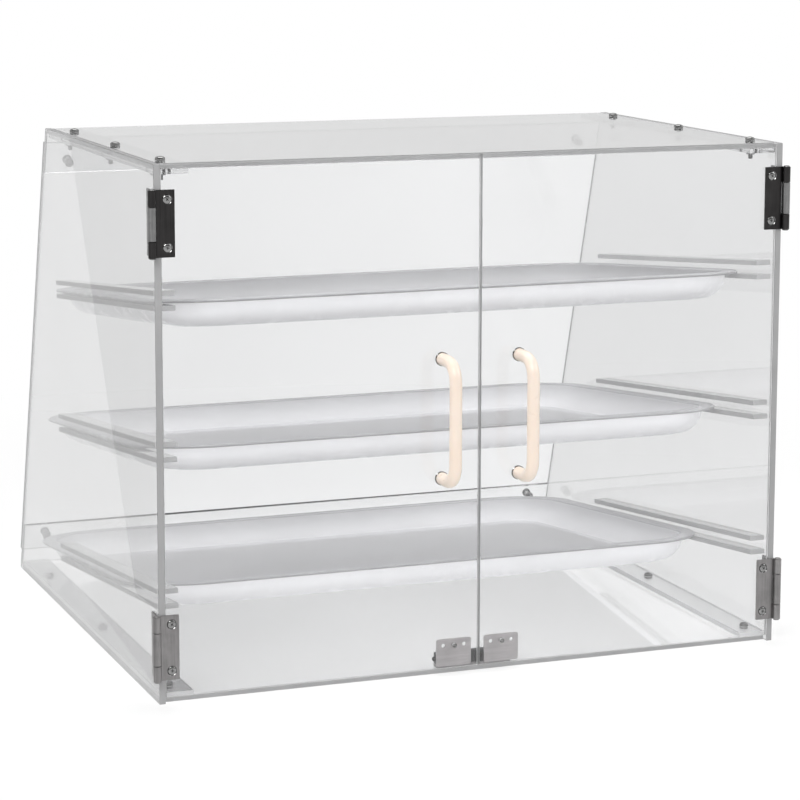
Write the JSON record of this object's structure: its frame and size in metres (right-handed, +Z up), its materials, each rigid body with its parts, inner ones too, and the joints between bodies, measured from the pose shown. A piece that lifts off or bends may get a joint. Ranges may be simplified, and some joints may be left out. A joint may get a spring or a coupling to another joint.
{
  "type": "food display case",
  "caption": "Clear countertop food display case with a slanted front, tilted lift-out trays on rail pairs and hinged rear doors with bow handles.",
  "frame": {"origin": "centre of the case's flat underside", "axes": "+X across the width, +Y from the doors to the slanted customer front, +Z up"},
  "size_m": [0.544, 0.5045, 0.4221],
  "materials": {
    "clear_sheet": "clear polished cast sheet",
    "clear_tray": "clear moulded, faintly cloudy",
    "satin_steel": "satin stainless steel",
    "dark_steel": "dark satin steel",
    "bright_steel": "bright plated steel",
    "cream_plastic": "smooth cream moulding",
    "black_plastic": "black moulded housing"
  },
  "bodies": {
    "case": {"top_panel": "clear_sheet", "base_panel": "clear_sheet", "front_panel": "clear_sheet", "left_side_panel": "clear_sheet", "right_side_panel": "clear_sheet", "top_left_cleat": "clear_sheet", "base_left_cleat": "clear_sheet", "top_right_cleat": "clear_sheet", "base_right_cleat": "clear_sheet", "top_left_upper_rail": "clear_sheet", "top_left_lower_rail": "clear_sheet", "top_right_upper_rail": "clear_sheet", "top_right_lower_rail": "clear_sheet", "middle_left_upper_rail": "clear_sheet", "middle_left_lower_rail": "clear_sheet", "middle_right_upper_rail": "clear_sheet", "middle_right_lower_rail": "clear_sheet", "bottom_left_upper_rail": "clear_sheet", "bottom_left_lower_rail": "clear_sheet", "bottom_right_upper_rail": "clear_sheet", "bottom_right_lower_rail": "clear_sheet", "left_upper_hinge_side_leaf": "dark_steel", "left_upper_hinge_pin": "dark_steel", "left_lower_hinge_side_leaf": "satin_steel", "left_lower_hinge_pin": "satin_steel", "right_upper_hinge_side_leaf": "dark_steel", "right_upper_hinge_pin": "dark_steel", "right_lower_hinge_side_leaf": "satin_steel", "right_lower_hinge_pin": "satin_steel", "top_left_rear_screw": "bright_steel", "base_left_rear_screw": "bright_steel", "top_left_middle_screw": "bright_steel", "base_left_middle_screw": "bright_steel", "top_left_front_screw": "bright_steel", "base_left_front_screw": "bright_steel", "front_upper_left_screw": "bright_steel", "front_lower_left_screw": "bright_steel", "top_right_rear_screw": "bright_steel", "base_right_rear_screw": "bright_steel", "top_right_middle_screw": "bright_steel", "base_right_middle_screw": "bright_steel", "top_right_front_screw": "bright_steel", "base_right_front_screw": "bright_steel", "front_upper_right_screw": "bright_steel", "front_lower_right_screw": "bright_steel", "magnetic_catch": "black_plastic"},
    "left_door": {"left_door_panel": "clear_sheet", "left_door_handle": "cream_plastic", "left_strike_plate": "satin_steel", "left_upper_hinge_door_leaf": "dark_steel", "left_lower_hinge_door_leaf": "satin_steel"},
    "right_door": {"right_door_panel": "clear_sheet", "right_door_handle": "cream_plastic", "right_strike_plate": "satin_steel", "right_upper_hinge_door_leaf": "dark_steel", "right_lower_hinge_door_leaf": "satin_steel"},
    "top_tray": {"top_tray": "clear_tray"},
    "middle_tray": {"middle_tray": "clear_tray"},
    "bottom_tray": {"bottom_tray": "clear_tray"}
  },
  "joints": [
    {"name": "left_door_hinge", "type": "hinge", "parent": "case", "child": "left_door", "pos_m": [-0.2688, -0.238, 0.2095], "axis": [0, 0, -1], "range_deg": [0, 250]},
    {"name": "right_door_hinge", "type": "hinge", "parent": "case", "child": "right_door", "pos_m": [0.2688, -0.238, 0.2095], "axis": [0, 0, 1], "range_deg": [0, 250]},
    {"name": "top_tray_slide", "type": "slide", "parent": "case", "child": "top_tray", "axis": [0, -0.9945, 0.1045], "range_m": [0, 0.008]},
    {"name": "middle_tray_slide", "type": "slide", "parent": "case", "child": "middle_tray", "axis": [0, -0.9945, 0.1045], "range_m": [0, 0.045]},
    {"name": "bottom_tray_slide", "type": "slide", "parent": "case", "child": "bottom_tray", "axis": [0, -0.9945, 0.1045], "range_m": [0, 0.077]}
  ]
}
